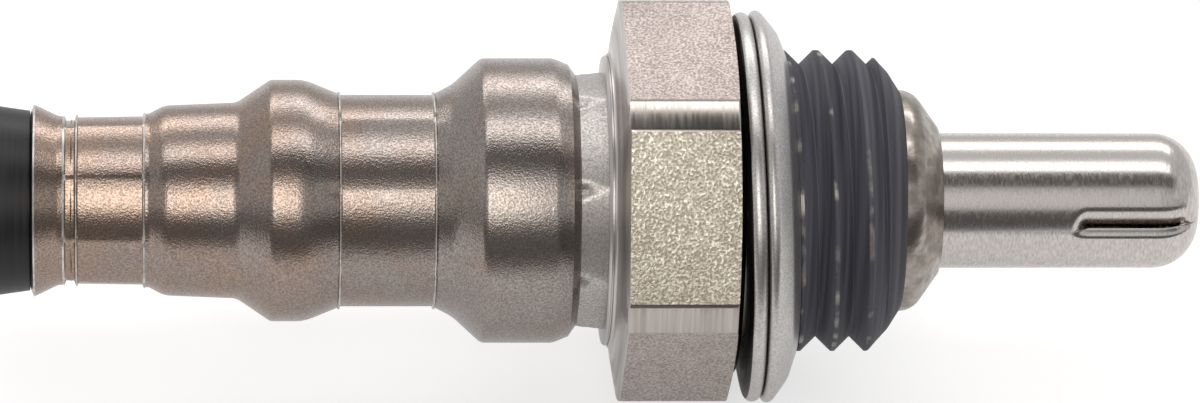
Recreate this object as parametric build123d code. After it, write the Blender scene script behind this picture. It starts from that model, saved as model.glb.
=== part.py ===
"""Heated oxygen sensor with a screw-in steel body, in millimetres.

X runs along the sensor, from the lead end to the sensing tip. X = 0 is the start of the
thread, just in front of the captive gasket, and Z is up when a hexagon flat lies downwards.
"""

import os
from math import asin, atan, atan2, cos, degrees, hypot, pi, radians, sin, sqrt, tan

from build123d import *

# ---- driving dimensions -------------------------------------------------------------

# thread and nose of the housing
thread_r = 8.92  # crest radius
thread_len = 4.5  # full crests, from the gasket to the lead chamfer
lead_len = 1.75
nose_r = 6.63
nose_len = 2.5
nose_round = 2.0
relief_r = 8.1  # neck under the gasket
relief_lead = 0.45

# hexagon and collar
hex_across = 21.5  # a 22 mm spanner hexagon, near its lower limit
hex_round_r = 11.9  # the corners are turned down to this radius
hex_len = 7.35
hex_rear_chamfer = 0.55
hex_front_chamfer = 0.7
hex_front_face_r = 10.3
seat_len = 3.45  # from the hexagon to the start of the thread
collar_r = 8.62
collar_len = 0.45
collar_chamfer = 0.16

# bores and rear cup of the housing
fit_gap = 0.05  # between pieces that slide together
packing_bore_r = 5.3
front_bore_r = 3.75
element_seat_x = 1.0
flange_groove_x = 6.9
cup_len = 6.35  # from the collar to the rolled rim
cup_step_len = 1.5  # the thinner rim, before it is rolled in
rim_r = 6.4
rim_thick = 0.75
rim_mouth_r = 4.5

# gasket, folded from one strip
gasket_sheet = 0.4
gasket_fold_gap = 0.12
gasket_bore_r = 8.35
gasket_rear_r = 11.1
gasket_front_r = 11.45
gasket_lip_r = 9.35
gasket_lip_back = 0.25  # from the start of the thread to the lip's end
gasket_curl = 0.65  # outer radius of the front lobe's bend

# protection tube
tube_r = 4.0
tube_wall = 0.38
tube_end_x = 24.1
tube_corner = 2.66
tube_corner_in = 2.2
tube_flange_r = 5.5
tube_flange_thick = 0.4
louvre_count = 3
louvre_turn = 172.4  # where the first one lies, about X
louvre_rear_x = 16.3
louvre_front_x = 23.7
louvre_depth = 0.85
louvre_width = 0.5  # the slot that is pierced beside each flap
louvre_press_r = 1.35  # radius of the punch that presses the flap in
louvre_droop = 0.42  # how far the punch dips to follow the rounded end

# outer sleeve, as stations behind its front end: distance, outer radius, bend radius
sleeve_wall = 0.45
neck_r = 7.62
body_r = 8.41
waist_r = 6.28
bulge_r = 7.12
shoulder_r = 5.74
tail_r = 5.02
groove_r = 4.84
flare_r = 5.66
sleeve_stations = [
    (0.0, neck_r, 0),
    (1.18, neck_r, 1.6),
    (2.8, body_r, 2.0),
    (7.2, body_r, 1.1),
    (9.75, waist_r, 3.0),
    (15.64, waist_r, 0),
    (17.65, bulge_r, 2.6),
    (19.55, bulge_r, 1.3),
    (21.75, shoulder_r, 2.4),
    (25.9, shoulder_r - 0.2, 1.5),
    (27.15, tail_r, 1.5),
    (30.95, tail_r - 0.08, 0),
    (31.1, groove_r, 0),
    (31.7, groove_r, 1.0),
    (33.5, flare_r, 0),
]

# crimps: eight jaws close on the sleeve and leave eight ridges
jaw_count = 8
jaw_bow = 0.55  # how far a jaw's face bows between its ridges, from flat (0) to round (1)
crimp_turn = 4.5
tail_crimp_turn = -7.0
neck_crimp = (0.25, 1.15)  # from and to, behind the sleeve's front end
waist_crimp = (10.15, 15.6)
tail_crimp = (27.35, 30.9)

# rubber grommet and insulating disc
grommet_r = 4.3
grommet_front = 25.7  # behind the sleeve's front end
grommet_lip_r = 5.3
grommet_end_r = 5.85
grommet_end = 38.2  # behind the sleeve's front end
grommet_edge = 0.6
wire_bore_r = 1.05
wire_circle_r = 2.3
wire_count = 4
wire_turn = 45.0
disc_r = 4.95
disc_edge = 0.3
disc_bore_r = 1.3

# sensing element and heater
element_tip_x = 21.2
element_tip_r = 2.3
element_root_r = 2.95
element_taper_from = 4.0
element_taper_to = 12.0
element_collar_r = 5.1
element_collar_len = 3.2
element_collar_chamfer = 0.6
element_neck_r = 3.3
element_neck_len = 6.0
element_bore_r = 1.75
element_mouth_r = 2.12
element_mouth_len = 5.5
element_end_wall = 1.2
heater_r = 1.5
heater_end_gap = 0.3
heater_edge = 0.3

# packing stack, from the element's seat towards the rim
seal_ring_thick = 0.4
talc_len = 4.0
packing_washer_thick = 0.5
contact_ring_thick = 0.3
spring_height = 0.85
spring_thick = 0.45
retaining_ring_thick = 1.0
bush_bore_r = 2.75
bush_edge = 0.4
stack_mouth_r = 3.1

# terminal holder, its ring and the contacts
holder_r = 5.1
holder_front = 10.2  # behind the sleeve's front end
holder_flange_r = 6.4
holder_flange_front = 17.3
holder_flange_len = 2.2
holder_rear = 22.2
holder_edge = 0.3
terminal_bore_r = 1.2
heater_socket_r = 1.7
heater_socket_len = 3.6
barrel_r = 1.02
barrel_wall = 0.28
barrel_len = 3.4
barrel_front_wall = 0.6
leg_width = 1.1
leg_thick = 0.3
contact_sleeve_len = 3.6
contact_sleeve_wall = 0.25

# ---- places that follow from them ---------------------------------------------------

hex_front_x = -seat_len
hex_rear_x = hex_front_x - hex_len
collar_rear_x = hex_rear_x - collar_len
sleeve_front_x = collar_rear_x
lead_start_x = thread_len
nose_start_x = thread_len + lead_len
nose_end_x = nose_start_x + nose_len
nose_bore_r = tube_r + fit_gap
flange_front_x = flange_groove_x + tube_flange_thick
rim_rear_x = collar_rear_x - cup_len
rim_face_x = rim_rear_x + rim_thick
neck_under_sleeve_r = neck_r - sleeve_wall - fit_gap
cup_r = body_r - sleeve_wall - fit_gap
crimp_slope = atan2(body_r - neck_r, sleeve_stations[2][0] - sleeve_stations[1][0])
crimp_back = (sleeve_wall + fit_gap) * tan(crimp_slope / 2) + 2 * fit_gap
flare_slope = atan2(flare_r - groove_r, sleeve_stations[-1][0] - sleeve_stations[-2][0])
flare_back = sleeve_wall * sin(flare_slope) + fit_gap


def behind(distance):
    """X of a place that is measured back from the sleeve's front end."""
    return sleeve_front_x - distance


# ---- small tools --------------------------------------------------------------------


def turned(points):
    """A solid of revolution about X, from (x, radius) corners."""
    return revolve(make_face(Polyline(*points, close=True)), Axis.X)


def ring(x_from, x_to, inner, outer, edge=0.0):
    """A plain ring between two planes, with its outer edges broken by edge."""
    low, high = min(x_from, x_to), max(x_from, x_to)
    if edge == 0:
        return turned([(low, inner), (low, outer), (high, outer), (high, inner)])
    return turned(
        [
            (low, inner),
            (low, outer - edge),
            (low + edge, outer),
            (high - edge, outer),
            (high, outer - edge),
            (high, inner),
        ]
    )


def rod(x_from, x_to, radius, across=0.0, turn=0.0):
    """A cylinder along X, set off the axis by across in the direction turn."""
    length = abs(x_to - x_from)
    place = Pos((x_from + x_to) / 2, 0, 0) * Rot(0, 90, 0)
    return Rot(turn, 0, 0) * Pos(0, across, 0) * place * Cylinder(radius, length)


def strip(points, thickness):
    """A side view of bent sheet metal, from the corners of its middle line."""
    middle = FilletPolyline(*points, radius=thickness)
    return make_face(offset(middle, thickness / 2, kind=Kind.INTERSECTION))


# ---- housing ------------------------------------------------------------------------


def turned_outside():
    nose_arc = RadiusArc((nose_end_x - nose_round, nose_r), (nose_end_x, nose_r - nose_round), nose_round)
    corners = Polyline(
        (nose_end_x, nose_r - nose_round),
        (nose_end_x, 0),
        (rim_rear_x, 0),
        (rim_rear_x, rim_r - rim_thick),
        (rim_rear_x + rim_thick, rim_r),
        (rim_rear_x + cup_step_len, rim_r),
        (rim_rear_x + cup_step_len, cup_r - collar_chamfer),
        (rim_rear_x + cup_step_len + collar_chamfer, cup_r),
        (behind(sleeve_stations[2][0] + crimp_back), cup_r),
        (behind(sleeve_stations[1][0] + crimp_back), neck_under_sleeve_r),
        (collar_rear_x, neck_under_sleeve_r),
        (collar_rear_x, collar_r - collar_chamfer),
        (collar_rear_x + collar_chamfer, collar_r),
        (hex_rear_x, collar_r),
        (hex_front_x, collar_r),
        (hex_front_x, relief_r),
        (-relief_lead, relief_r),
        (0, thread_r),
        (lead_start_x, thread_r),
        (nose_start_x, nose_r),
        (nose_end_x - nose_round, nose_r),
    )
    return revolve(make_face(nose_arc + corners), Axis.X)


def hexagon():
    blank = turned(
        [
            (hex_rear_x, 0),
            (hex_rear_x, collar_r),
            (hex_rear_x + hex_rear_chamfer, hex_round_r),
            (hex_front_x - hex_front_chamfer, hex_round_r),
            (hex_front_x, hex_front_face_r),
            (hex_front_x, 0),
        ]
    )
    flats = extrude(Plane.YZ * RegularPolygon(hex_across / 2, 6, major_radius=False), hex_len)
    return blank & Pos(hex_rear_x, 0, 0) * flats


def housing():
    bores = turned(
        [
            (nose_end_x + 1, 0),
            (nose_end_x + 1, nose_bore_r),
            (flange_front_x, nose_bore_r),
            (flange_front_x, tube_flange_r + fit_gap),
            (flange_groove_x, tube_flange_r + fit_gap),
            (flange_groove_x, front_bore_r),
            (element_seat_x, front_bore_r),
            (element_seat_x, packing_bore_r),
            (rim_face_x, packing_bore_r),
            (rim_face_x, rim_mouth_r),
            (rim_rear_x - 1, rim_mouth_r),
            (rim_rear_x - 1, 0),
        ]
    )
    return turned_outside() + hexagon() - bores


# ---- gasket -------------------------------------------------------------------------


def gasket():
    """Three flat layers, folded over at the rear, and a front lobe that curls down to the thread."""
    layer_x = [hex_front_x + (gasket_sheet + gasket_fold_gap) * i for i in range(3)]
    fold_r = gasket_sheet + gasket_fold_gap / 2
    fold_x, fold_end_x = layer_x[1] + gasket_sheet, layer_x[2] + gasket_sheet
    curl_x, curl_r = layer_x[2] + gasket_curl, gasket_front_r - gasket_curl
    run, drop = -gasket_lip_back - curl_x, curl_r - gasket_lip_r
    slope = atan2(drop, run) + asin(gasket_curl / hypot(run, drop))
    lip = Vector(-gasket_lip_back, gasket_lip_r)
    across = Vector(sin(slope), cos(slope))
    curl_top = Vector(curl_x, curl_r) + across * gasket_curl
    rear_fold = ThreePointArc(
        (hex_front_x, gasket_rear_r - fold_r),
        (hex_front_x + fold_r, gasket_rear_r),
        (fold_x, gasket_rear_r - fold_r),
    )
    crease = Polyline(
        (fold_x, gasket_rear_r - fold_r),
        (fold_x, gasket_bore_r + gasket_sheet),
        (layer_x[2], gasket_bore_r + gasket_sheet),
        (layer_x[2], curl_r),
    )
    halfway = (3 * pi / 2 - slope) / 2
    curl_middle = Vector(curl_x, curl_r) + Vector(cos(halfway), sin(halfway)) * gasket_curl
    front_curl = ThreePointArc((layer_x[2], curl_r), curl_middle, curl_top)
    inside = Polyline(
        curl_top,
        lip,
        lip - across * gasket_sheet,
        curl_top - across * gasket_sheet,
        (fold_end_x, curl_r),
        (fold_end_x, gasket_bore_r),
        (layer_x[1], gasket_bore_r),
        (layer_x[1], gasket_rear_r - gasket_sheet),
        (layer_x[0] + gasket_sheet, gasket_rear_r - gasket_sheet),
        (layer_x[0] + gasket_sheet, gasket_bore_r),
        (hex_front_x, gasket_bore_r),
        (hex_front_x, gasket_rear_r - fold_r),
    )
    return revolve(make_face(rear_fold + crease + front_curl + inside), Axis.X)


# ---- protection tube ----------------------------------------------------------------


def tube_blank(radius, corner, end_x, back_x):
    """A closed round-cornered plug; two of them make the drawn cup."""
    corner_arc = RadiusArc((end_x - corner, radius), (end_x, radius - corner), corner)
    sides = Polyline(
        (end_x, radius - corner), (end_x, 0), (back_x, 0), (back_x, radius), (end_x - corner, radius)
    )
    return revolve(make_face(corner_arc + sides), Axis.X)


def punch(radius):
    """The round-ended punch that presses one louvre, dipping towards the tip."""
    length = louvre_front_x - louvre_rear_x - 2 * louvre_press_r
    outline = RadiusArc((-radius, 0), (0, radius), radius)
    outline += Line((0, radius), (length, radius))
    outline += RadiusArc((length, radius), (length + radius, 0), radius)
    outline += Line((length + radius, 0), (-radius, 0))
    capsule = revolve(make_face(outline), Axis.X)
    dip = degrees(atan(louvre_droop / length))
    stand_off = tube_r - louvre_depth + louvre_press_r
    return Pos(louvre_rear_x + louvre_press_r, stand_off, 0) * Rot(0, 0, -dip) * capsule


def louvred(cup, solid_cup, turn):
    """Press one flap in above its slot, and pierce the slot."""
    long = 2 * (tube_end_x - louvre_rear_x)
    above = Pos(tube_end_x, 0, -tube_r) * Box(long, 6 * tube_r, 2 * tube_r)
    face = Rot(turn, 0, 0)
    dent = face * (punch(louvre_press_r + tube_wall) & above)
    hollow = face * (punch(louvre_press_r) & above)
    slot_len = louvre_front_x - louvre_rear_x - 2 * louvre_width
    slot = Pos((louvre_front_x + louvre_rear_x) / 2, tube_r, louvre_width / 2) * Box(
        slot_len, 4 * louvre_depth, louvre_width
    )
    flap = (dent & solid_cup) - hollow
    return cup - dent - face * slot + flap


def protection_tube():
    solid_cup = tube_blank(tube_r, tube_corner, tube_end_x, flange_groove_x)
    inside = tube_blank(tube_r - tube_wall, tube_corner_in, tube_end_x - tube_wall, flange_groove_x - 1)
    cup = solid_cup - inside
    for i in range(louvre_count):
        cup = louvred(cup, solid_cup, louvre_turn + 360 / louvre_count * i)
    flange = ring(flange_groove_x, flange_front_x, tube_r - tube_wall / 2, tube_flange_r)
    return cup + flange


# ---- outer sleeve -------------------------------------------------------------------


def jaw_bed(x_from, x_to, radius, turn):
    """What the closed jaws leave free: a prism with one bowed face for each jaw."""
    half = pi / jaw_count
    bow = radius * cos(half) + jaw_bow * radius * (1 - cos(half))
    faces = []
    for i in range(jaw_count):
        corner, middle, end = [radians(turn) + half * (2 * i + k) for k in range(3)]
        faces.append(
            ThreePointArc(
                (radius * cos(corner), radius * sin(corner)),
                (bow * cos(middle), bow * sin(middle)),
                (radius * cos(end), radius * sin(end)),
            )
        )
    return Pos(x_from, 0, 0) * extrude(Plane.YZ * make_face(faces), x_to - x_from)


def crimp_cut(span, radius, turn):
    """The metal that one crimp takes off the sleeve's round outside."""
    front, rear = behind(span[0]), behind(span[1])
    around_it = rod(rear, front, radius + 1)
    return around_it - jaw_bed(rear, front, radius, turn)


def one_wall_in(corners, wall):
    """The same run of corners, moved in by the wall's thickness."""
    slopes = [atan2(b[1] - a[1], b[0] - a[0]) for a, b in zip(corners, corners[1:])]
    moved = []
    for (x, r), before, after in zip(corners, slopes[:1] + slopes, slopes + slopes[-1:]):
        mean, shift = (before + after) / 2, wall / cos((after - before) / 2)
        moved.append((x + shift * sin(mean), r - shift * cos(mean)))
    return moved


def outer_sleeve():
    corners = [(behind(distance), radius) for distance, radius, bend in reversed(sleeve_stations)]
    bends = [bend for distance, radius, bend in reversed(sleeve_stations[1:-1])]
    outside = FilletPolyline(*corners, radius=bends)
    inner = one_wall_in(corners, sleeve_wall)
    inside = Polyline(corners[-1], *reversed(inner), corners[0])
    sleeve = revolve(make_face(outside + inside), Axis.X)
    sleeve -= crimp_cut(neck_crimp, neck_r, crimp_turn)
    sleeve -= crimp_cut(waist_crimp, waist_r, crimp_turn)
    sleeve -= crimp_cut(tail_crimp, tail_r, tail_crimp_turn)
    return sleeve


# ---- grommet and insulating disc ----------------------------------------------------


def wire_bores(x_from, x_to, radius):
    turns = [wire_turn + 360 / wire_count * i for i in range(wire_count)]
    return [rod(x_from, x_to, radius, wire_circle_r, turn) for turn in turns]


def grommet():
    front_x = behind(grommet_front)
    end_x = behind(grommet_end)
    flare_x = behind(sleeve_stations[-2][0])
    lip_x = behind(sleeve_stations[-1][0])
    body = turned(
        [
            (front_x, 0),
            (front_x, grommet_r),
            (flare_x, grommet_r),
            (lip_x, flare_r - sleeve_wall - 2 * fit_gap),
            (lip_x - flare_back, flare_r - sleeve_wall - 2 * fit_gap),
        (lip_x - flare_back, grommet_lip_r),
            (end_x + grommet_edge, grommet_end_r),
            (end_x, grommet_end_r - grommet_edge),
            (end_x, 0),
        ]
    )
    for bore in wire_bores(end_x - 1, front_x + 1, wire_bore_r):
        body -= bore
    return body


def insulating_disc():
    front_x = behind(holder_rear)
    rear_x = behind(grommet_front)
    disc = ring(rear_x, front_x, 0, disc_r, disc_edge)
    for bore in wire_bores(rear_x - 1, front_x + 1, disc_bore_r):
        disc -= bore
    return disc


# ---- sensing element and heater -----------------------------------------------------


def collar_front():
    return element_seat_x - seal_ring_thick


def collar_back():
    return collar_front() - element_collar_len


def element_rear():
    return collar_back() - element_neck_len


def sensing_element():
    front, back, rear = collar_front(), collar_back(), element_rear()
    tip_arc = RadiusArc((element_tip_x - element_tip_r, element_tip_r), (element_tip_x, 0), element_tip_r)
    outline = Polyline(
        (element_tip_x, 0),
        (rear, 0),
        (rear, element_neck_r),
        (back, element_neck_r),
        (back, element_collar_r - element_collar_chamfer),
        (back + element_collar_chamfer, element_collar_r),
        (front - element_collar_chamfer, element_collar_r),
        (front, element_collar_r - element_collar_chamfer),
        (front, element_root_r),
        (element_taper_from, element_root_r),
        (element_taper_to, element_tip_r),
        (element_tip_x - element_tip_r, element_tip_r),
    )
    thimble = revolve(make_face(tip_arc + outline), Axis.X)
    bore = rod(rear - 1, element_tip_x - element_end_wall, element_bore_r)
    mouth = rod(rear - 1, rear + element_mouth_len, element_mouth_r)
    return thimble - bore - mouth


def heater_rod():
    front = element_tip_x - element_end_wall - heater_end_gap
    rear = behind(holder_front) - heater_socket_len
    return ring(rear, front, 0, heater_r, heater_edge)


# ---- packing stack ------------------------------------------------------------------


def stack_places():
    """Planes of the stack, from the element's collar back to the rolled rim."""
    washer_front = collar_back() - talc_len
    bush_front = washer_front - packing_washer_thick
    ring_front = rim_face_x + retaining_ring_thick
    contact_rear = ring_front + spring_height
    bush_rear = contact_rear + contact_ring_thick
    return washer_front, bush_front, bush_rear, contact_rear, ring_front


def element_seal_ring():
    return ring(collar_front(), element_seat_x, front_bore_r + fit_gap, packing_bore_r - 2 * fit_gap)


def talc_packing():
    washer_front = stack_places()[0]
    return ring(washer_front, collar_back(), element_neck_r + fit_gap, packing_bore_r - fit_gap)


def packing_washer():
    washer_front, bush_front = stack_places()[:2]
    return ring(bush_front, washer_front, element_neck_r + 2 * fit_gap, packing_bore_r - 2 * fit_gap)


def support_bush():
    bush_front, bush_rear = stack_places()[1:3]
    bush = ring(bush_rear, bush_front, bush_bore_r, packing_bore_r - 2 * fit_gap, bush_edge)
    return bush - rod(element_rear() - 4 * fit_gap, bush_front + 1, element_neck_r + 2 * fit_gap)


def disc_spring():
    contact_rear, ring_front = stack_places()[3:]
    outer = packing_bore_r - 2 * fit_gap
    return turned(
        [
            (contact_rear, stack_mouth_r),
            (contact_rear - spring_thick, stack_mouth_r),
            (ring_front, outer),
            (ring_front + spring_thick, outer),
        ]
    )


def retaining_ring():
    return ring(rim_face_x, rim_face_x + retaining_ring_thick, stack_mouth_r, packing_bore_r - 2 * fit_gap)


# ---- terminal holder and contacts ---------------------------------------------------


def terminal_holder():
    front, rear = behind(holder_front), behind(holder_rear)
    flange_front = behind(holder_flange_front)
    block = ring(rear, front, 0, holder_r, holder_edge)
    block += ring(flange_front - holder_flange_len, flange_front, 0, holder_flange_r, holder_edge)
    for bore in wire_bores(rear - 1, front + 1, terminal_bore_r):
        block -= bore
    return block - rod(front - heater_socket_len - 2 * fit_gap, front + 1, heater_socket_r)


def holder_ring():
    waist_front = behind(waist_crimp[0]) - heater_edge
    waist_bore = waist_r - sleeve_wall
    return ring(behind(holder_flange_front), waist_front, holder_r + fit_gap, waist_bore - fit_gap)


def terminal(path, turn):
    """A crimp barrel, open to the rear, and the leg that runs forward from it."""
    rear = behind(holder_rear) + holder_edge
    front = rear + barrel_len
    barrel = rod(rear, front, barrel_r, wire_circle_r)
    barrel -= rod(rear - 1, front - barrel_front_wall, barrel_r - barrel_wall, wire_circle_r)
    start = [(front - barrel_front_wall / 2, wire_circle_r)]
    side = strip(start + path, leg_thick)
    leg = extrude(side, leg_width / 2, both=True)
    return Rot(turn, 0, 0) * (barrel + leg)


def heater_contact(turn):
    front = behind(holder_front)
    touch = heater_r + fit_gap + leg_thick / 2
    path = [
        (front - heater_socket_len + heater_socket_r, wire_circle_r),
        (front - heater_socket_r / 2, touch),
        (front + heater_socket_r / 2, wire_circle_r),
    ]
    return terminal(path, turn)


def signal_contact():
    rear = element_rear()
    outer = element_mouth_r - fit_gap
    inner = outer - contact_sleeve_wall
    middle = sqrt(outer**2 - leg_width**2 / 4) - leg_thick / 2
    path = [
        (rear - 3 * leg_width, wire_circle_r),
        (rear - leg_width, middle),
        (rear + leg_width, middle),
    ]
    return terminal(path, wire_turn) + ring(rear + leg_width / 2, rear + contact_sleeve_len, inner, outer)


def ground_contact():
    contact_rear = stack_places()[3]
    plane = contact_rear + contact_ring_thick / 2
    path = [(plane, wire_circle_r), (plane, stack_mouth_r + leg_thick)]
    outer = packing_bore_r - 2 * fit_gap
    plate = ring(contact_rear, contact_rear + contact_ring_thick, stack_mouth_r, outer)
    return terminal(path, wire_turn + 180) + plate


# ---- build --------------------------------------------------------------------------

pieces = {
    "housing": housing,
    "gasket": gasket,
    "protection_tube": protection_tube,
    "outer_sleeve": outer_sleeve,
    "grommet": grommet,
    "insulating_disc": insulating_disc,
    "sensing_element": sensing_element,
    "heater_rod": heater_rod,
    "element_seal_ring": element_seal_ring,
    "talc_packing": talc_packing,
    "packing_washer": packing_washer,
    "support_bush": support_bush,
    "disc_spring": disc_spring,
    "retaining_ring": retaining_ring,
    "terminal_holder": terminal_holder,
    "holder_ring": holder_ring,
    "signal_contact": signal_contact,
    "ground_contact": ground_contact,
    "heater_contact_left": lambda: heater_contact(wire_turn + 90),
    "heater_contact_right": lambda: heater_contact(wire_turn + 270),
}

os.makedirs("parts", exist_ok=True)
for name, build in pieces.items():
    export_step(build(), f"parts/{name}.step")
    print(name)
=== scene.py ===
import math

import bmesh
import bpy
from mathutils import Matrix, Vector


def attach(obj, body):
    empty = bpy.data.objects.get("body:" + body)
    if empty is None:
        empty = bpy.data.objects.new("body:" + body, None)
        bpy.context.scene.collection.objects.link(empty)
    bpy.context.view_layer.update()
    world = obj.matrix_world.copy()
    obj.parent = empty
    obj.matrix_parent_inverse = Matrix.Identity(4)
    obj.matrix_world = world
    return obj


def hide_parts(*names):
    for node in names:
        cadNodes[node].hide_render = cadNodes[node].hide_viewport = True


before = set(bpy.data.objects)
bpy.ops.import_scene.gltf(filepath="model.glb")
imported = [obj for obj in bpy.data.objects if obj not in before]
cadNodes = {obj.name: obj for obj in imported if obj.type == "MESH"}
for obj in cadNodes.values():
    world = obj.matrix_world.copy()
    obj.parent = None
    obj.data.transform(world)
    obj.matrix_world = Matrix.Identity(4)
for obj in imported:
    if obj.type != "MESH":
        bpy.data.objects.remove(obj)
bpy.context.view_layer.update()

mm = 0.001  # pieces are modelled in millimetres and brought to metres when finished
turnSteps = 192  # a multiple of the eight crimp jaws
bendStep = 8  # degrees turned by each segment of a bend
mergeDistance = 0.0005
sleeveFront = -11.25  # where the outer sleeve begins, behind the hexagon's collar
print("frame loaded,", len(cadNodes), "nodes")


# modelling helpers

def makeActive(piece):
    bpy.ops.object.select_all(action="DESELECT")
    piece.select_set(True)
    bpy.context.view_layer.objects.active = piece


def pickVerts(piece, wanted):
    # in edit mode, selects the points for which wanted(place) is true
    bpy.ops.mesh.select_mode(type="VERT")
    bpy.ops.mesh.select_all(action="DESELECT")
    mesh = bmesh.from_edit_mesh(piece.data)
    for vert in mesh.verts:
        vert.select = wanted(vert.co)
    mesh.select_flush_mode()
    bmesh.update_edit_mesh(piece.data)


def isAt(corner):
    near = 1e-4
    return lambda place: abs(place.x - corner[0]) < near and abs(place.z - corner[1]) < near


def turnBetween(before, corner, after):
    into = math.atan2(corner[1] - before[1], corner[0] - before[0])
    out = math.atan2(after[1] - corner[1], after[0] - corner[0])
    return abs((out - into + math.pi) % (2 * math.pi) - math.pi)


def drawOutline(name, corners, closed=False):
    # corners are (x, radius, bend radius); one point is drawn out from corner to corner
    bpy.ops.object.select_all(action="DESELECT")
    bpy.ops.mesh.primitive_plane_add(size=1)
    piece = bpy.context.object
    piece.name = piece.data.name = name
    bpy.ops.object.mode_set(mode="EDIT")
    bpy.ops.mesh.select_all(action="SELECT")
    bpy.ops.mesh.merge(type="CENTER")
    bpy.ops.transform.translate(value=(corners[0][0], 0, corners[0][1]))
    for here, there in zip(corners, corners[1:]):
        step = (there[0] - here[0], 0, there[1] - here[1])
        bpy.ops.mesh.extrude_region_move(TRANSFORM_OT_translate={"value": step})
    if closed:
        first, last = isAt(corners[0]), isAt(corners[-1])
        pickVerts(piece, lambda place: first(place) or last(place))
        bpy.ops.mesh.edge_face_add()
    for before, corner, after in zip(corners, corners[1:], corners[2:]):
        if corner[2] > 0:
            turn = turnBetween(before, corner, after)
            pickVerts(piece, isAt(corner))
            bpy.ops.mesh.bevel(
                offset=corner[2] * math.tan(turn / 2),
                segments=max(3, round(math.degrees(turn) / bendStep)),
                affect="VERTICES",
            )
    return piece


def spinOutline(piece, steps):
    bpy.ops.mesh.select_all(action="SELECT")
    bpy.ops.mesh.spin(steps=steps, angle=2 * math.pi, center=(0, 0, 0), axis=(1, 0, 0))
    bpy.ops.mesh.select_all(action="SELECT")
    bpy.ops.mesh.remove_doubles(threshold=mergeDistance)
    bpy.ops.mesh.normals_make_consistent(inside=False)
    bpy.ops.object.mode_set(mode="OBJECT")
    return piece


def turnedPiece(name, corners, closed=False, steps=turnSteps):
    return spinOutline(drawOutline(name, corners, closed), steps)


def turnBy(piece, degrees, axis=0):
    makeActive(piece)
    piece.rotation_euler[axis] = math.radians(degrees)
    bpy.ops.object.transform_apply(rotation=True)


def faceOutward(piece):
    # an open wall has no inside of its own: its faces are turned away from the axis
    outward = sum(
        face.normal.y * face.center.y + face.normal.z * face.center.z for face in piece.data.polygons
    )
    if outward < 0:
        makeActive(piece)
        bpy.ops.object.mode_set(mode="EDIT")
        bpy.ops.mesh.select_all(action="SELECT")
        bpy.ops.mesh.flip_normals()
        bpy.ops.object.mode_set(mode="OBJECT")


def applyModifier(piece, kind, **settings):
    makeActive(piece)
    modifier = piece.modifiers.new(kind.lower(), kind)
    for setting, value in settings.items():
        setattr(modifier, setting, value)
    bpy.ops.object.modifier_apply(modifier=modifier.name)


def cutAway(piece, cutter):
    applyModifier(piece, "BOOLEAN", object=cutter, operation="DIFFERENCE", solver="EXACT")
    bpy.data.objects.remove(cutter)


def finishPiece(piece, node, material, smoothBelow):
    makeActive(piece)
    piece.scale = (mm, mm, mm)
    bpy.ops.object.transform_apply(location=True, rotation=True, scale=True)
    bpy.ops.object.shade_smooth_by_angle(angle=math.radians(smoothBelow))
    piece.data.materials.clear()
    piece.data.materials.append(material)
    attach(piece, "root")
    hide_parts(node)
    print("finished", piece.name, len(piece.data.polygons), "faces")


# material helpers

def newMaterial(name):
    material = bpy.data.materials.new(name)
    material.use_nodes = True
    nodes = material.node_tree.nodes
    shader = nodes["Principled BSDF"]
    coords = nodes.new("ShaderNodeTexCoord")
    return material, shader, coords


def addNode(tree, kind, inputs=None, **settings):
    node = tree.nodes.new(kind)
    for setting, value in settings.items():
        setattr(node, setting, value)
    for socket, value in (inputs or {}).items():
        if isinstance(value, bpy.types.NodeSocket):
            tree.links.new(value, node.inputs[socket])
        else:
            node.inputs[socket].default_value = value
    return node


def makeGroup(name, inputs, outputs):
    # inputs and outputs are (name, socket kind, starting value)
    tree = bpy.data.node_groups.new(name, "ShaderNodeTree")
    for socketName, kind, value in inputs:
        socket = tree.interface.new_socket(socketName, in_out="INPUT", socket_type=kind)
        if value is not None:
            socket.default_value = value
    for socketName, kind in outputs:
        tree.interface.new_socket(socketName, in_out="OUTPUT", socket_type=kind)
    groupIn = tree.nodes.new("NodeGroupInput")
    groupOut = tree.nodes.new("NodeGroupOutput")
    return tree, groupIn.outputs, groupOut.inputs


def mathNode(tree, operation, first, second, **settings):
    return addNode(tree, "ShaderNodeMath", {0: first, 1: second}, operation=operation, **settings).outputs[0]


def mixColours(tree, fac, first, second):
    mix = addNode(tree, "ShaderNodeMix", {0: fac, 6: first, 7: second}, data_type="RGBA")
    return mix.outputs[2]


def mapRange(tree, value, toMin, toMax, fromMin=0.0, fromMax=1.0):
    ranges = {"From Min": fromMin, "From Max": fromMax, "To Min": toMin, "To Max": toMax}
    return addNode(tree, "ShaderNodeMapRange", {"Value": value, **ranges}).outputs[0]


def useGroup(material, group, inputs):
    return addNode(material.node_tree, "ShaderNodeGroup", inputs, node_tree=group)


def separateX(tree, vector):
    return addNode(tree, "ShaderNodeSeparateXYZ", {"Vector": vector}).outputs["X"]


def rampNode(tree, fac, stops):
    node = addNode(tree, "ShaderNodeValToRGB", {"Fac": fac})
    elements = node.color_ramp.elements
    while len(elements) < len(stops):
        elements.new(0.5)
    for element, (place, colour) in zip(elements, stops):
        element.position = place
        element.color = (*colour, 1)
    return node.outputs["Color"]


# node groups for effects that several materials share

perMetre = 1000.0  # patterns are given per millimetre, and Object coordinates are in metres


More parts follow.
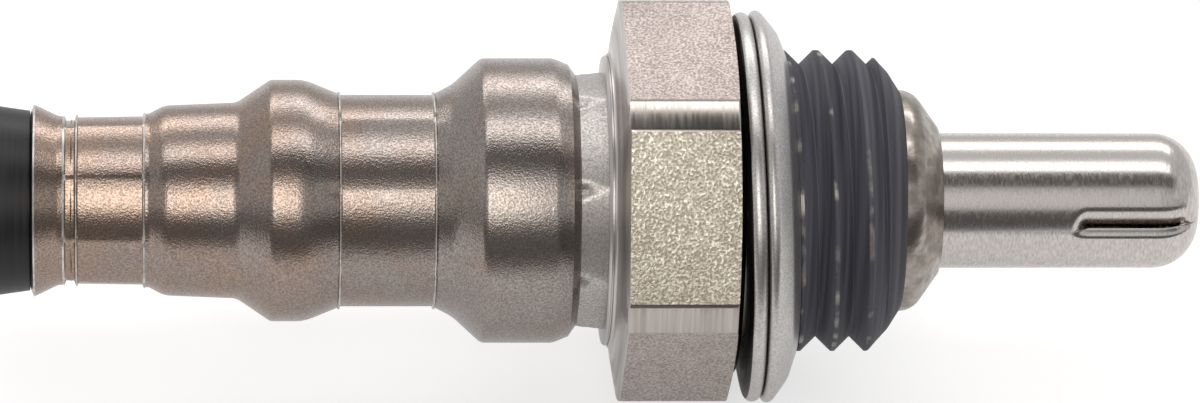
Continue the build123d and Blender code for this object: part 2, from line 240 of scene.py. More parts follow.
def makeGrainGroup():
    # a mottle of fine grains over broad patches
    tree, ins, outs = makeGroup(
        "metalGrain",
        [
            ("Vector", "NodeSocketVector", None),
            ("Grains per mm", "NodeSocketFloat", 5.0),
            ("Dark", "NodeSocketColor", (0.2, 0.2, 0.2, 1)),
            ("Light", "NodeSocketColor", (0.6, 0.6, 0.6, 1)),
            ("Patches", "NodeSocketFloat", 0.2),
            ("Smooth", "NodeSocketFloat", 0.3),
            ("Rough", "NodeSocketFloat", 0.5),
        ],
        [("Color", "NodeSocketColor"), ("Roughness", "NodeSocketFloat"), ("Height", "NodeSocketFloat")],
    )
    scale = mathNode(tree, "MULTIPLY", ins["Grains per mm"], perMetre)
    fine = addNode(tree, "ShaderNodeTexNoise", {"Vector": ins["Vector"], "Scale": scale})
    broad = addNode(tree, "ShaderNodeTexNoise", {"Vector": ins["Vector"], "Scale": 420.0, "Detail": 3.0})
    grains = mapRange(tree, fine.outputs["Fac"], 0.0, 1.0, fromMin=0.36, fromMax=0.64)
    middle = mathNode(tree, "SUBTRACT", broad.outputs["Fac"], 0.5)
    patches = mathNode(tree, "MULTIPLY", middle, ins["Patches"])
    mask = mathNode(tree, "ADD", grains, patches, use_clamp=True)
    tree.links.new(mixColours(tree, mask, ins["Dark"], ins["Light"]), outs["Color"])
    tree.links.new(mapRange(tree, mask, ins["Rough"], ins["Smooth"]), outs["Roughness"])
    tree.links.new(grains, outs["Height"])
    return tree


def makeTurnedGroup():
    # fine marks that run round a turned or brushed piece
    tree, ins, outs = makeGroup(
        "turningMarks",
        [
            ("Vector", "NodeSocketVector", None),
            ("Marks per mm", "NodeSocketFloat", 12.0),
            ("Length", "NodeSocketFloat", 0.05),
        ],
        [("Fac", "NodeSocketFloat")],
    )
    along = mathNode(tree, "MULTIPLY", ins["Marks per mm"], perMetre)
    around = mathNode(tree, "MULTIPLY", along, ins["Length"])
    scales = addNode(tree, "ShaderNodeCombineXYZ", {0: along, 1: around, 2: around}).outputs[0]
    stretched = addNode(tree, "ShaderNodeVectorMath", {0: ins["Vector"], 1: scales}, operation="MULTIPLY")
    noise = addNode(tree, "ShaderNodeTexNoise", {"Vector": stretched.outputs[0], "Scale": 1.0, "Detail": 3.0})
    tree.links.new(noise.outputs["Fac"], outs["Fac"])
    return tree


grainGroup = makeGrainGroup()
turnedGroup = makeTurnedGroup()


def bumpFrom(material, shader, height, strength, depth):
    # depth in millimetres
    sockets = {"Height": height, "Strength": strength, "Distance": depth * mm}
    bump = addNode(material.node_tree, "ShaderNodeBump", sockets)
    material.node_tree.links.new(bump.outputs["Normal"], shader.inputs["Normal"])


def placeGrain(material, coords, dark, light, grains, **others):
    sockets = {"Vector": coords.outputs["Object"], "Grains per mm": grains, **others}
    sockets["Dark"] = (*dark, 1)
    sockets["Light"] = (*light, 1)
    return useGroup(material, grainGroup, sockets)


def placeMarks(material, coords, marks, length):
    sockets = {"Vector": coords.outputs["Object"], "Marks per mm": marks, "Length": length}
    return useGroup(material, turnedGroup, sockets).outputs["Fac"]


def grainyMetal(name, dark, light, grains, smooth, rough, bump, patches=0.5):
    material, shader, coords = newMaterial(name)
    links = material.node_tree.links
    finish = {"Smooth": smooth, "Rough": rough, "Patches": patches}
    grain = placeGrain(material, coords, dark, light, grains, **finish)
    shader.inputs["Metallic"].default_value = 1.0
    links.new(grain.outputs["Color"], shader.inputs["Base Color"])
    links.new(grain.outputs["Roughness"], shader.inputs["Roughness"])
    bumpFrom(material, shader, grain.outputs["Height"], bump, 0.03)
    return material


def turnedMetal(name, dark, light, marks, roughness, bump, length=0.05):
    # the marks darken and roughen the metal in thin rings
    material, shader, coords = newMaterial(name)
    tree = material.node_tree
    ring = placeMarks(material, coords, marks, length)
    low, high = 0.3, 0.7  # of the marks' pattern
    colour = rampNode(tree, ring, [(low, dark), (high, light)])
    rough = mapRange(tree, ring, roughness + 0.08, roughness - 0.06, fromMin=low, fromMax=high)
    shader.inputs["Metallic"].default_value = 1.0
    tree.links.new(colour, shader.inputs["Base Color"])
    tree.links.new(rough, shader.inputs["Roughness"])
    bumpFrom(material, shader, ring, bump, 0.02)
    return material


def speckledSolid(name, dark, light, grains, roughness, bump):
    # ceramic, powder and plastic pieces inside the sensor
    material, shader, coords = newMaterial(name)
    links = material.node_tree.links
    spread = 0.08
    finish = {"Smooth": roughness - spread, "Rough": roughness + spread}
    grain = placeGrain(material, coords, dark, light, grains, **finish)
    links.new(grain.outputs["Color"], shader.inputs["Base Color"])
    links.new(grain.outputs["Roughness"], shader.inputs["Roughness"])
    bumpFrom(material, shader, grain.outputs["Height"], bump, 0.02)
    return material


print("materials")
# name, dark and light colour, then grains or marks per mm, the roughness and the bump
flatSteel = grainyMetal("flatSteel", (0.335, 0.285, 0.265), (0.60, 0.53, 0.50), 7.0, 0.36, 0.5, 0.5)
yellowSteel = grainyMetal("yellowSteel", (0.49, 0.42, 0.33), (1.0, 0.95, 0.82), 6.2, 0.38, 0.5, 1.0)
hexTurnedSteel = turnedMetal("hexTurnedSteel", (0.42, 0.385, 0.355), (0.54, 0.50, 0.465), 4.0, 0.17, 0.08)
collarSteel = turnedMetal("collarSteel", (0.42, 0.40, 0.385), (0.80, 0.77, 0.75), 4.0, 0.34, 0.5, length=0.01)
noseSteel = grainyMetal("noseSteel", (0.27, 0.235, 0.205), (0.44, 0.40, 0.36), 1.3, 0.22, 0.34, 0.25)
gasketSteel = grainyMetal("gasketSteel", (0.50, 0.485, 0.475), (0.70, 0.68, 0.67), 9.0, 0.30, 0.38, 0.15)
# near-black steel: painted shade for the gasket's rear flank in the recess beside the hexagon
paintedShadeSteel = grainyMetal("paintedShadeSteel", (0.030, 0.028, 0.027), (0.06, 0.056, 0.054), 6.0, 0.4, 0.5, 0.2)
tubeSteel = turnedMetal("tubeSteel", (0.53, 0.495, 0.47), (0.72, 0.675, 0.645), 8.5, 0.22, 0.16, length=0.3)
innerSteel = turnedMetal("innerSteel", (0.42, 0.41, 0.40), (0.6, 0.59, 0.58), 8.0, 0.35, 0.2)
contactMetal = turnedMetal("contactMetal", (0.46, 0.42, 0.34), (0.66, 0.61, 0.5), 10.0, 0.28, 0.15)
sealMetal = turnedMetal("sealMetal", (0.5, 0.27, 0.16), (0.66, 0.38, 0.24), 8.0, 0.35, 0.2)
zirconia = speckledSolid("zirconia", (0.72, 0.68, 0.58), (0.84, 0.80, 0.70), 8.0, 0.5, 0.15)
alumina = speckledSolid("alumina", (0.76, 0.75, 0.72), (0.88, 0.87, 0.84), 8.0, 0.5, 0.15)
packingPowder = speckledSolid("packingPowder", (0.58, 0.57, 0.53), (0.74, 0.73, 0.69), 10.0, 0.85, 0.5)
fluoropolymer = speckledSolid("fluoropolymer", (0.78, 0.78, 0.76), (0.86, 0.86, 0.84), 4.0, 0.45, 0.08)


def makeSleeveSteel():
    # drawn steel with a heat tint: silvery by the hexagon, coppery towards the leads
    tintEnds = (-44 * mm, -11 * mm)
    tints = [(0.3, (0.35, 0.311, 0.288)), (0.52, (0.345, 0.283, 0.251)), (0.75, (0.373, 0.283, 0.232))]
    neckEdge = (-12.95 * mm, -12.8 * mm)  # in front of it lies the pale, rougher neck
    neckColour = (0.52, 0.495, 0.475, 1)
    neckRougher, neckCalm = 0.2, 0.25
    grainLow, grainHigh = 0.35, 0.65
    material, shader, coords = newMaterial("sleeveSteel")
    tree = material.node_tree
    place = coords.outputs["Object"]
    x = separateX(tree, place)
    patches = addNode(tree, "ShaderNodeTexNoise", {"Vector": place, "Scale": 330.0, "Detail": 4.0})
    along = mapRange(tree, x, 0.3, -0.3, fromMin=tintEnds[0], fromMax=tintEnds[1])
    tint = rampNode(tree, mathNode(tree, "ADD", patches.outputs["Fac"], along), tints)
    neck = mapRange(tree, x, 0.0, 1.0, fromMin=neckEdge[0], fromMax=neckEdge[1])
    tint = mixColours(tree, neck, tint, neckColour)
    fine = addNode(tree, "ShaderNodeTexNoise", {"Vector": place, "Scale": 8500.0, "Detail": 3.0})
    grain = fine.outputs["Fac"]
    shade = mapRange(tree, grain, 0.7, 1.25, fromMin=grainLow, fromMax=grainHigh)
    colour = addNode(tree, "ShaderNodeVectorMath", {0: tint, "Scale": shade}, operation="SCALE")
    rough = mapRange(tree, grain, 0.27, 0.18, fromMin=grainLow, fromMax=grainHigh)
    roughness = mathNode(tree, "ADD", rough, mathNode(tree, "MULTIPLY", neck, neckRougher))
    shader.inputs["Metallic"].default_value = 1.0
    tree.links.new(colour.outputs[0], shader.inputs["Base Color"])
    tree.links.new(roughness, shader.inputs["Roughness"])
    calm = mapRange(tree, neck, 1.0, neckCalm)
    bumpFrom(material, shader, mathNode(tree, "MULTIPLY", grain, calm), 0.7, 0.025)
    return material


def makeRubber():
    material, shader, coords = newMaterial("rubber")
    tree = material.node_tree
    ring = placeMarks(material, coords, 5.0, 0.03)
    colour = rampNode(tree, ring, [(0.3, (0.006, 0.006, 0.007)), (0.75, (0.018, 0.018, 0.021))])
    tree.links.new(colour, shader.inputs["Base Color"])
    tree.links.new(mapRange(tree, ring, 0.32, 0.5), shader.inputs["Roughness"])
    shader.inputs["Specular IOR Level"].default_value = 0.36
    bumpFrom(material, shader, ring, 0.25, 0.03)
    return material


def makeThreadPaste():
    # blue-grey paste over the thread, rubbed through to bare metal along the crests
    pastes = [(0.25, (0.018, 0.018, 0.024)), (0.55, (0.062, 0.062, 0.080)), (0.8, (0.11, 0.11, 0.13))]
    bareColour = (0.36, 0.34, 0.30, 1)
    wornFrom, wornTo = 8.85 * mm, 8.93 * mm  # radius at which the paste thins out
    material, shader, coords = newMaterial("threadPaste")
    tree = material.node_tree
    place = coords.outputs["Object"]
    ring = placeMarks(material, coords, 3.2, 0.025)
    paste = rampNode(tree, ring, pastes)
    split = addNode(tree, "ShaderNodeSeparateXYZ", {"Vector": place})
    flat = addNode(tree, "ShaderNodeCombineXYZ", {"Y": split.outputs["Y"], "Z": split.outputs["Z"]})
    radius = addNode(tree, "ShaderNodeVectorMath", {0: flat.outputs[0]}, operation="LENGTH")
    crest = mapRange(tree, radius.outputs["Value"], 0.0, 1.0, fromMin=wornFrom, fromMax=wornTo)
    broken = addNode(tree, "ShaderNodeTexNoise", {"Vector": place, "Scale": 450.0, "Detail": 7.0})
    chips = mapRange(tree, broken.outputs["Fac"], 0.0, 1.0, fromMin=0.52, fromMax=0.62)
    bare = mathNode(tree, "MULTIPLY", crest, chips)
    tree.links.new(mixColours(tree, bare, paste, bareColour), shader.inputs["Base Color"])
    tree.links.new(bare, shader.inputs["Metallic"])
    tree.links.new(mapRange(tree, bare, 0.62, 0.3), shader.inputs["Roughness"])
    bumpFrom(material, shader, ring, 0.6, 0.05)
    return material


sleeveSteel = makeSleeveSteel()
scrapedSteel = turnedMetal("scrapedSteel", (0.50, 0.48, 0.46), (0.82, 0.80, 0.78), 2.0, 0.36, 0.4, length=1.0)
rubber = makeRubber()
threadPaste = makeThreadPaste()


# the housing: hexagon, collar, thread and nose, hollow for the packing

housing = {
    "hexFlat": 10.75,  # from the axis to a flat
    "hexCorner": 11.9,
    "edgeBreak": 0.02,
    "rearLean": 60,  # of the break at the flats' rear ends, in degrees
    "rearBreak": -10.18,
    "crest": 8.92,
    "root": 8.06,
    "pitch": 2.0,
    "crestWidth": 0.2,
    "rootWidth": 0.05,
    "helixStart": 0.097,  # where a groove crosses the +Y side
    "helixTurns": 5,
    "helixSteps": 96,  # in each turn
    "cutterOver": 0.06,  # how far the thread's cutter stands over the crests
    # x, radius, bend; round the outside from the nose to the rear cup and back through the bores
    "section": [
        (8.65, 4.05, 0), (8.65, 4.35, 0.25), (7.1, 6.52, 1.3), (6.3, 6.55, 0), (5.6, 7.65, 0.8),
        (4.9, 8.4, 0.8), (4.45, 8.92, 0.2), (-0.6, 8.92, 0), (-0.95, 8.1, 0.2), (-3.45, 8.1, 0),
        (-3.45, 10.1, 0), (-3.72, 10.5, 0), (-3.85, 11.9, 0.12), (-10.3, 11.9, 0.12), (-10.8, 8.75, 0.15),
        (-10.95, 8.7, 0), (-11.0, 8.5, 0), (-11.06, 8.5, 0), (-11.1, 8.6, 0), (-11.25, 8.5, 0),
        (-11.25, 7.12, 0), (-12.4, 7.12, 0), (-14.2, 7.91, 0), (-16.1, 7.91, 0.16), (-16.1, 6.4, 0),
        (-16.85, 6.4, 0), (-17.6, 5.65, 0), (-17.6, 4.5, 0), (-16.85, 4.5, 0), (-16.85, 5.3, 0),
        (1.0, 5.3, 0), (1.0, 3.75, 0), (6.9, 3.75, 0), (6.9, 5.55, 0), (7.3, 5.55, 0), (7.3, 4.05, 0),
    ],
    # where one finish gives way to the next, as x or as a radius
    "flatsEnd": -3.5,
    "rearConeStart": -10.3,
    "cupStart": -11.3,
    "boresEnd": 6.0,
    "boreRadius": 6.0,
    "noseStart": 6.25,
    "pasteStart": -1.2,
    "flatArea": 20,  # square millimetres; a flat's face is larger than this
}


def threadCutter():
    # the groove's section, screwed along the thread
    deep, wide = housing["root"], housing["crest"]
    halfDeep = housing["rootWidth"] / 2
    halfWide = (housing["pitch"] - housing["crestWidth"]) / 2
    over = housing["cutterOver"]
    halfOver = halfWide + (halfWide - halfDeep) * over / (wide - deep)
    start = housing["helixStart"] - 2 * housing["pitch"]
    corners = [
        (start - halfOver, wide + over, 0), (start - halfDeep, deep, 0),
        (start + halfDeep, deep, 0), (start + halfOver, wide + over, 0),
    ]
    cutter = drawOutline("threadCutter", corners, closed=True)
    bpy.ops.object.mode_set(mode="OBJECT")
    # the outline lies at +Z, a quarter turn past +Y
    for vert in cutter.data.vertices:
        vert.co.x += housing["pitch"] / 4
    applyModifier(
        cutter, "SCREW", axis="X", screw_offset=housing["pitch"], iterations=housing["helixTurns"],
        steps=housing["helixSteps"], render_steps=housing["helixSteps"],
        use_merge_vertices=False, use_smooth_shade=False,
    )
    bpy.ops.object.mode_set(mode="EDIT")
    bpy.ops.mesh.select_all(action="SELECT")
    bpy.ops.mesh.remove_doubles(threshold=mergeDistance)
    bpy.ops.mesh.fill_holes(sides=0)
    bpy.ops.mesh.select_all(action="SELECT")
    bpy.ops.mesh.normals_make_consistent(inside=False)
    bpy.ops.object.mode_set(mode="OBJECT")
    return cutter


def cutPlane(distance, turn, lean=0, x=0):
    # clears what lies outside a plane facing away from the axis, leaning back by lean degrees
    outward = Vector((0, math.sin(turn), math.cos(turn)))
    facing = outward * math.cos(math.radians(lean)) - Vector((math.sin(math.radians(lean)), 0, 0))
    bpy.ops.mesh.select_all(action="SELECT")
    bpy.ops.mesh.bisect(
        plane_co=outward * distance + Vector((x, 0, 0)), plane_no=facing, clear_outer=True, use_fill=True
    )


def cutHexagon(piece):
    # flats, then their broken edges: along the corners and at the rear
    flat, corner = housing["hexFlat"], housing["hexCorner"]
    halfFlat = math.acos(flat / corner)
    edgeFace = corner * math.cos(halfFlat / 2) - housing["edgeBreak"]
    makeActive(piece)
    bpy.ops.object.mode_set(mode="EDIT")
    for side in range(6):
        turn = side * math.pi / 3
        cutPlane(flat, turn)
        cutPlane(edgeFace, turn + halfFlat / 2)
        cutPlane(edgeFace, turn - halfFlat / 2)
        cutPlane(flat, turn, lean=housing["rearLean"], x=housing["rearBreak"])
    bpy.ops.mesh.select_all(action="SELECT")
    bpy.ops.mesh.normals_make_consistent(inside=False)
    bpy.ops.object.mode_set(mode="OBJECT")


def paintHousing(piece):
    turned, flat, collar, paste, nose, inner, yellow = range(7)
    for finish in (flatSteel, collarSteel, threadPaste, noseSteel, innerSteel, yellowSteel):
        piece.data.materials.append(finish)
    for face in piece.data.polygons:
        x = face.center.x / mm
        across = math.hypot(face.center.y, face.center.z) / mm
        alongHexagon = housing["rearConeStart"] < x < housing["flatsEnd"]
        isFlat = abs(face.normal.x) < 0.01 and face.area > housing["flatArea"] * mm * mm
        facesFront = face.normal.x > 0.9
        inBore = across < housing["boreRadius"] and x < housing["boresEnd"] and not facesFront
        if alongHexagon and isFlat:
            # one opposite pair of flats, the flat facing the camera among them, gets a brighter, yellower
            # steel
            face.material_index = yellow if face.normal.y * face.normal.z < -0.2 else flat
        elif x < housing["cupStart"] or inBore:
            face.material_index = inner
        elif x < housing["rearConeStart"]:
            face.material_index = collar
        elif x > housing["noseStart"]:
            face.material_index = nose
        elif x > housing["pasteStart"]:
            face.material_index = paste
        else:
            face.material_index = turned


def makeHousing():
    piece = turnedPiece("housingBody", housing["section"], closed=True)
    cutHexagon(piece)
    cutAway(piece, threadCutter())
    finishPiece(piece, "housing", hexTurnedSteel, smoothBelow=28)
    paintHousing(piece)


makeHousing()


# the gasket: one strip of sheet, folded back and forth and curled over the front

gasket = {
    "sheet": 0.4,
    "strip": [
        (-3.1, 8.5, 0), (-3.1, 10.4, 0.4), (-2.93, 11.32, 0.22), (-2.46, 11.34, 0.22), (-2.45, 8.9, 0.2),
        (-2.04, 8.9, 0.2), (-1.98, 11.74, 0.22), (-0.85, 10.25, 1.2), (-0.35, 8.9, 0),
    ],
    "leans": (-1.6, 0.8),  # it hangs loose: degrees about Y and Z
    "shift": (-0.02, -0.2, -0.22),
    # the painted shade on the rear flank reaches forward to here
    "paintedShadeEnd": -2.7,
}


def makeGasket():
    piece = turnedPiece("gasketRing", gasket["strip"])
    applyModifier(piece, "SOLIDIFY", thickness=gasket["sheet"], offset=0)
    turnBy(piece, gasket["leans"][0], axis=1)
    turnBy(piece, gasket["leans"][1], axis=2)
    piece.location = gasket["shift"]
    bpy.ops.object.transform_apply(location=True)
    finishPiece(piece, "gasket", gasketSteel, smoothBelow=40)
    # the rear flank, in the dark recess beside the hexagon, is painted near black as shade
    piece.data.materials.append(paintedShadeSteel)
    for face in piece.data.polygons:
        facesRear = face.normal.x < -0.8
        if facesRear and face.center.x < gasket["paintedShadeEnd"] * mm:
            face.material_index = 1


makeGasket()


# the protection tube: a drawn cup with three louvres, each sheared along a line and pressed in

tube = {
    "wall": 0.38,
    "middle": [(7.1, 5.5, 0), (7.1, 3.81, 0.25), (23.91, 3.81, 2.47), (23.91, 0, 0)],
    "steps": 384,
    "louvres": 3,
    "shearTurn": 172.4,  # of a louvre's sheared edge, in degrees about X from +Y
    "rear": 16.2,
    "front": 23.7,
    "ringStep": 0.15,
    "rounded": 1.0,  # length of a louvre's rounded ends
    "flap": (1.5, 0.8),  # how far round the wall it reaches, and its depth
    "lip": (0.46, 0.3),
}


def arcFrom(place, louvre):
    # the way round the middle of the wall from a louvre's sheared edge, towards its flap
    sheared = math.radians(tube["shearTurn"]) + louvre * 2 * math.pi / tube["louvres"]
    angle = (sheared - math.atan2(place.z, place.y) + math.pi) % (2 * math.pi) - math.pi
    return angle * tube["middle"][1][1]


def pressedDepth(place, arc, reach, depth):
    # deepest at the middle of the sheared line, and eased out to the wall around it
    middle = (tube["rear"] + tube["front"]) / 2
    straight = (tube["front"] - tube["rear"]) / 2 - tube["rounded"]
    end = max(0.0, abs(place.x - middle) - straight) / tube["rounded"]
    inside = max(0.0, 1 - math.hypot(arc / reach, end))
    easing = 1.5
    return depth * inside * inside * (1 + easing - easing * inside)


def pressLouvre(mesh, louvre):
    # the wall is sheared along one line, and both its sides are pressed in, the flap deepest
    near = 0.005

    def onLine(vert):
        inSpan = tube["rear"] - 2 * near < vert.co.x < tube["front"] + 2 * near
        return inSpan and abs(arcFrom(vert.co, louvre)) < near

    line = {vert for vert in mesh.verts if onLine(vert)}
    sheared = [edge for edge in mesh.edges if edge.verts[0] in line and edge.verts[1] in line]
    bmesh.ops.split_edges(mesh, edges=sheared)
    pressed = {}
    for vert in mesh.verts:
        if vert.co.x < tube["rear"] or not vert.link_faces:
            continue
        side = sum(arcFrom(face.calc_center_median(), louvre) for face in vert.link_faces)
        reach, depth = tube["flap"] if side > 0 else tube["lip"]
        arc = arcFrom(vert.co, louvre)
        if abs(arc) < reach:
            pressed[vert] = pressedDepth(vert.co, arc, reach, depth)
    for vert, depth in pressed.items():
        radius = math.hypot(vert.co.y, vert.co.z)
        if radius > depth:
            vert.co.y *= 1 - depth / radius
            vert.co.z *= 1 - depth / radius


def addRings(piece, places):
    # rings of points across the wall, where it is going to be pressed
    bpy.ops.object.mode_set(mode="EDIT")
    for x in places:
        bpy.ops.mesh.select_all(action="SELECT")
        bpy.ops.mesh.bisect(plane_co=(x, 0, 0), plane_no=(1, 0, 0))
    bpy.ops.object.mode_set(mode="OBJECT")


def makeTube():
    piece = turnedPiece("protectionCup", tube["middle"], steps=tube["steps"])
    turnBy(piece, (tube["shearTurn"] - 90) % (360 / tube["steps"]))
    rings = round((tube["front"] - tube["rear"]) / tube["ringStep"])
    addRings(piece, [tube["rear"] + tube["ringStep"] * i for i in range(rings + 1)])
    mesh = bmesh.new()
    mesh.from_mesh(piece.data)
    for louvre in range(tube["louvres"]):
        pressLouvre(mesh, louvre)
    mesh.to_mesh(piece.data)
    mesh.free()
    applyModifier(piece, "SOLIDIFY", thickness=tube["wall"], offset=0)
    finishPiece(piece, "protection_tube", tubeSteel, smoothBelow=38)


makeTube()


# the outer sleeve: drawn, stepped, and closed on the parts inside by eight jaws in three places

sleeve = {
    "wall": 0.45,
    "jaws": 8,
    # behind the front end: distance, outer radius, bend
    "stations": [
        (0.0, 7.62, 0), (0.5, 7.6, 0), (0.9, 7.59, 0), (1.25, 7.57, 0), (1.58, 7.56, 0), (2.05, 8.05, 0),
        (2.95, 8.41, 0.9), (7.2, 8.41, 0.6), (8.9, 6.85, 2.2), (9.9, 6.34, 0), (10.0, 6.48, 0.05),
        (10.1, 6.27, 0), (15.47, 6.27, 0), (15.57, 6.48, 0.05), (15.67, 6.34, 0), (17.6, 7.13, 2.4),
        (19.6, 7.13, 0.5), (21.6, 5.78, 0.9), (25.85, 5.6, 1.3), (26.75, 5.12, 0.4), (26.95, 5.12, 0),
        (27.04, 5.2, 0.04), (27.13, 5.03, 0), (30.88, 4.97, 0), (31.0, 5.1, 0.05), (31.12, 4.86, 0),
        (31.6, 4.84, 0), (31.7, 5.0, 0.04), (31.8, 4.96, 0), (32.1, 5.0, 0.3), (33.4, 5.62, 0),
        (33.5, 5.66, 0),
    ],
    "frontTurn": 4.5,  # degrees about X from +Y to the first crease, at the front and middle crimps
    "tailTurn": -6.75,
    # from, to, turn, and how round the faces stay between creases, from 0 (flat) to 1
    "crimps": [
        (-0.1, 1.6, "frontTurn", 0.45), (10.09, 15.48, "frontTurn", 0.85),
        (27.12, 30.9, "tailTurn", 0.8), (31.1, 31.62, "tailTurn", 0.6),
    ],
    # burrs at the jaws' ends, each broken for a few degrees beside a crease
    "ridges": [
        (10.0, "frontTurn"), (15.57, "frontTurn"),
        (27.04, "tailTurn"), (31.0, "tailTurn"), (31.7, "tailTurn"),
    ],
    "ridgeHalf": 0.07,
    "ridgeBreak": 2.5,
    "ridgeDrop": 0.97,
    "lipEdge": 33.48,
    # a notch at each crease by the collar, where the corners of two jaws bit
    "notchStart": 0.4,
    "notchLength": 1.2,
    "notchDepth": 0.055,  # as a share of the radius
    "notchWidths": (1.0, 3.6),  # half its width where it starts, and what it gains, in degrees
}


def fromFaceMiddle(place, turn):
    # degrees from the middle of the nearest jaw face
    pitch = 360 / sleeve["jaws"]
    angle = math.degrees(math.atan2(place.z, place.y)) - sleeve[turn]
    return (angle % pitch) - pitch / 2


def fromCrease(place, turn):
    return 180 / sleeve["jaws"] - abs(fromFaceMiddle(place, turn))


def notchFactor(place, behind):
    along = (behind - sleeve["notchStart"]) / sleeve["notchLength"]
    if not 0 < along < 1:
        return 1.0
    narrow, gain = sleeve["notchWidths"]
    across = fromCrease(place, "frontTurn") / (narrow + gain * along)
    return 1 - sleeve["notchDepth"] * along * max(0.0, 1 - across)


def closeJaws(piece):
    half = math.radians(180 / sleeve["jaws"])
    for vert in piece.data.vertices:
        behind = sleeveFront - vert.co.x
        factor = 1.0
        for start, end, turn, bow in sleeve["crimps"]:
            if start < behind < end:
                flat = math.cos(half) / math.cos(math.radians(fromFaceMiddle(vert.co, turn)))
                factor *= bow + (1 - bow) * flat
        for ridge, turn in sleeve["ridges"]:
            onRidge = abs(behind - ridge) < sleeve["ridgeHalf"]
            if onRidge and fromCrease(vert.co, turn) < sleeve["ridgeBreak"]:
                factor *= sleeve["ridgeDrop"]
        factor *= notchFactor(vert.co, behind)
        vert.co.y *= factor
        vert.co.z *= factor


def makeSleeve():
    corners = [(sleeveFront - distance, radius, bend) for distance, radius, bend in sleeve["stations"]]
    piece = turnedPiece("outerSleeve", corners)
    turnBy(piece, sleeve["frontTurn"])
    faceOutward(piece)
    closeJaws(piece)
    applyModifier(piece, "SOLIDIFY", thickness=sleeve["wall"], offset=-1)
    finishPiece(piece, "outer_sleeve", sleeveSteel, smoothBelow=28)
    # the ridges and the lip's edge are scraped bright
    piece.data.materials.append(scrapedSteel)
    bright = [ridge for ridge, turn in sleeve["ridges"]] + [sleeve["lipEdge"]]
    for face in piece.data.polygons:
        behind = sleeveFront - face.center.x / mm
        if min(abs(behind - place) for place in bright) < sleeve["ridgeHalf"]:
            face.material_index = 1


makeSleeve()


# the rubber grommet, with a bore for each lead

grommet = {
    "outline": [
        (-36.95, 0, 0), (-36.95, 4.3, 0.3), (-42.95, 4.3, 1.0), (-44.75, 5.11, 0), (-44.99, 5.11, 0),
        (-44.99, 5.3, 0), (-48.85, 5.85, 0.3), (-49.45, 5.25, 0.2), (-49.45, 0, 0),
    ],
    "bore": 1.05,
    "boreCircle": 2.3,
    "bores": 4,
    "firstBore": 45,  # degrees about X from +Y
    "boreMiddle": -43.2,
    "boreLength": 16,
    "boreSides": 48,
}


def makeGrommet():
    piece = turnedPiece("leadGrommet", grommet["outline"])
    for i in range(grommet["bores"]):
        turn = math.radians(grommet["firstBore"] + i * 360 / grommet["bores"])
        away = grommet["boreCircle"]
        bpy.ops.mesh.primitive_cylinder_add(
            vertices=grommet["boreSides"], radius=grommet["bore"], depth=grommet["boreLength"],
            location=(grommet["boreMiddle"], away * math.cos(turn), away * math.sin(turn)),
            rotation=(0, math.pi / 2, 0),
        )
        cutAway(piece, bpy.context.object)
    finishPiece(piece, "grommet", rubber, smoothBelow=40)


makeGrommet()


# finishes of the pieces inside, which stay as the frame has them

insideFinishes = {
    "insulating_disc": fluoropolymer,
    "sensing_element": zirconia,
    "heater_rod": alumina,
    "support_bush": alumina,
    "terminal_holder": alumina,
    "element_seal_ring": sealMetal,
    "talc_packing": packingPowder,
    "packing_washer": innerSteel,
    "disc_spring": innerSteel,
    "retaining_ring": innerSteel,
    "holder_ring": innerSteel,
    "signal_contact": contactMetal,
    "ground_contact": contactMetal,
    "heater_contact_left": contactMetal,
    "heater_contact_right": contactMetal,
}
for nodeName, finish in insideFinishes.items():
    for slot in cadNodes[nodeName].material_slots:
        slot.material = finish


# floor, lamps, cards and camera

studio = {
    "floor": -11.95,
    "floorSize": 4000,
    "world": 0.62,  # strength of the white surroundings
    # elevation above the camera side's horizon, distance, length, width, strength, colour
    "lamps": {
        "overheadStrip": (95.5, 420, 520, 110, 2.5, (1.0, 0.97, 0.95)),
        "rearStrip": (143, 420, 520, 130, 2.5, (1.0, 0.97, 0.95)),
        "cameraSoftbox": (36, 250, 118, 122, 2.62, (1.0, 0.94, 0.86)),
    },
    "lampShift": {"cameraSoftbox": -53},  # along the axis
    # elevation, distance, length, width
    "cards": {"upperCard": (71.7, 300, 700, 153), "frontCard": (1.5, 38, 500, 25.5)},
    "cardGlow": (0.17, 0.075),  # behind and in front of the fading, which lies along the axis
    "cardFading": (-8, 12),
    "floorGlow": 0.62,
    "mirroredShare": 0.63,  # of the floor's glow that metal reflects
}


def towards(elevation, distance):
    angle = math.radians(elevation)
    return Vector((0, -math.cos(angle), math.sin(angle))) * distance * mm


def facingAxis(place):
    outward = place.normalized()
    along = Vector((1, 0, 0))
    return Matrix((along, outward.cross(along), outward)).transposed().to_euler()


def makeLamps():
    for name, (elevation, distance, length, width, strength, colour) in studio["lamps"].items():
        place = towards(elevation, distance)
        turned = facingAxis(place)
        place.x = studio["lampShift"].get(name, 0) * mm
        bpy.ops.object.light_add(type="AREA", location=place, rotation=turned)
        lamp = bpy.context.object
        lamp.name = name
        lamp.data.shape = "RECTANGLE"
        lamp.data.size = length * mm
        lamp.data.size_y = width * mm
        lamp.data.energy = strength * math.pi * length * width * mm * mm
        lamp.data.color = colour


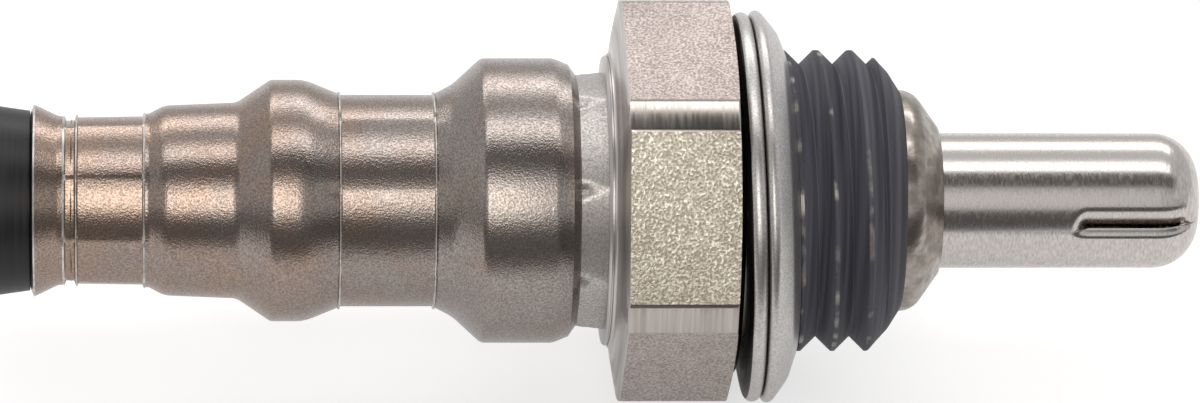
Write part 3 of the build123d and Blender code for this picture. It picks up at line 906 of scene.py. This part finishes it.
def makeCards():
    # dark cards that only reflections see
    material, shader, coords = newMaterial("darkCard")
    shader.inputs["Base Color"].default_value = (0.02, 0.02, 0.02, 1)
    shader.inputs["Emission Color"].default_value = (1, 0.97, 0.95, 1)
    tree = material.node_tree
    start, end = studio["cardFading"]
    x = separateX(tree, coords.outputs["Object"])
    fading = mapRange(tree, x, *studio["cardGlow"], fromMin=start * mm, fromMax=end * mm)
    tree.links.new(fading, shader.inputs["Emission Strength"])
    shader.inputs["Roughness"].default_value = 1.0
    shader.inputs["Specular IOR Level"].default_value = 0.0
    for name, (elevation, distance, length, width) in studio["cards"].items():
        place = towards(elevation, distance)
        bpy.ops.mesh.primitive_plane_add(size=1, location=place, rotation=facingAxis(place))
        card = bpy.context.object
        card.name = name
        card.scale = (length * mm, width * mm, 1)
        bpy.ops.object.transform_apply(location=True, rotation=True, scale=True)
        card.data.materials.append(material)
        card.visible_camera = card.visible_diffuse = card.visible_shadow = False
        card.visible_transmission = False


def makeFloor():
    # a grey floor that glows for the camera, and less so in reflections
    bpy.ops.mesh.primitive_plane_add(size=studio["floorSize"] * mm, location=(0, 0, studio["floor"] * mm))
    floor = bpy.context.object
    floor.name = "studioFloor"
    material, shader, _ = newMaterial("paleFloor")
    tree = material.node_tree
    shader.inputs["Base Color"].default_value = (0.5, 0.5, 0.5, 1)
    shader.inputs["Roughness"].default_value = 0.9
    path = addNode(tree, "ShaderNodeLightPath")
    mirrored = mathNode(tree, "MULTIPLY", path.outputs["Is Glossy Ray"], studio["mirroredShare"])
    seen = mathNode(tree, "ADD", path.outputs["Is Camera Ray"], mirrored)
    seenAll = mathNode(tree, "ADD", seen, path.outputs["Is Transmission Ray"], use_clamp=True)
    glow = mathNode(tree, "MULTIPLY", seenAll, studio["floorGlow"])
    shader.inputs["Emission Color"].default_value = (1, 1, 1, 1)
    tree.links.new(glow, shader.inputs["Emission Strength"])
    floor.data.materials.append(material)


def makeWorld():
    world = bpy.data.worlds.new("paleStudio")
    world.use_nodes = True
    background = world.node_tree.nodes["Background"]
    background.inputs["Color"].default_value = (1, 1, 1, 1)
    background.inputs["Strength"].default_value = studio["world"]
    bpy.context.scene.world = world


view = {
    "middle": (-11.36, -0.035, -0.05),
    "distance": 430,
    "elevation": 35.4,
    "yaw": -4.1,  # the camera stands towards the lead end
    "width": 71.0,  # of the picture at the axis
    "sensor": 36,
}


def makeCamera():
    yaw, elevation = math.radians(view["yaw"]), math.radians(view["elevation"])
    level = math.cos(elevation)
    back = Vector((math.sin(yaw) * level, -math.cos(yaw) * level, math.sin(elevation)))
    right = (Vector((1, 0, 0)) - back * back.x).normalized()
    up = back.cross(right)
    bpy.ops.object.camera_add(
        location=Vector(view["middle"]) * mm + back * view["distance"] * mm,
        rotation=Matrix((right, up, back)).transposed().to_euler(),
    )
    camera = bpy.context.object
    camera.data.sensor_width = view["sensor"]
    camera.data.lens = view["sensor"] * view["distance"] / view["width"]
    camera.data.clip_start = 0.01
    bpy.context.scene.camera = camera


makeFloor()
makeWorld()
makeLamps()
makeCards()
makeCamera()
bpy.context.scene.view_settings.view_transform = "Standard"
print("studio ready")
